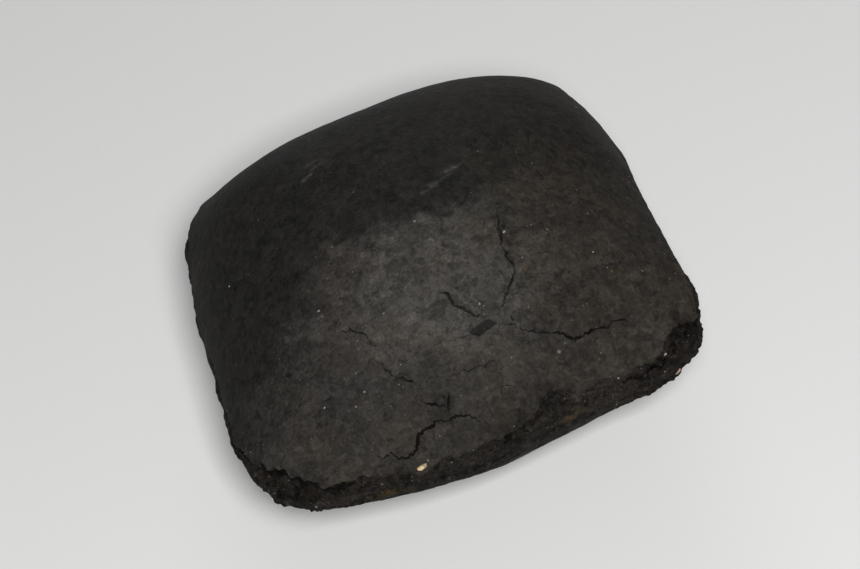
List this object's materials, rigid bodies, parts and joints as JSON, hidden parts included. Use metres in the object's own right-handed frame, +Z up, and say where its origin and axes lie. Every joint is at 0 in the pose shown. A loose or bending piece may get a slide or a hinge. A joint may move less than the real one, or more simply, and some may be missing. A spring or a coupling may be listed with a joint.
{
  "type": "charcoal briquette",
  "caption": "Pillow-shaped block of pressed charcoal with a seam round its middle and chipped corners, burned as barbecue fuel; it lies on a small flat of its belly.",
  "frame": {"origin": "middle of the base of the briquette's box, on the surface that it lies on", "axes": "+Z up, square to the seam; +X along the slightly longer side, to the right as seen from the front; +Y to the back, away from the side that the picture shows"},
  "size_m": [0.054, 0.0522, 0.0313],
  "materials": {
    "charcoal": "dull, fine-grained pressed charcoal with hairline cracks and tiny bright grains"
  },
  "bodies": {
    "root": {"briquette": "charcoal"}
  },
  "joints": []
}
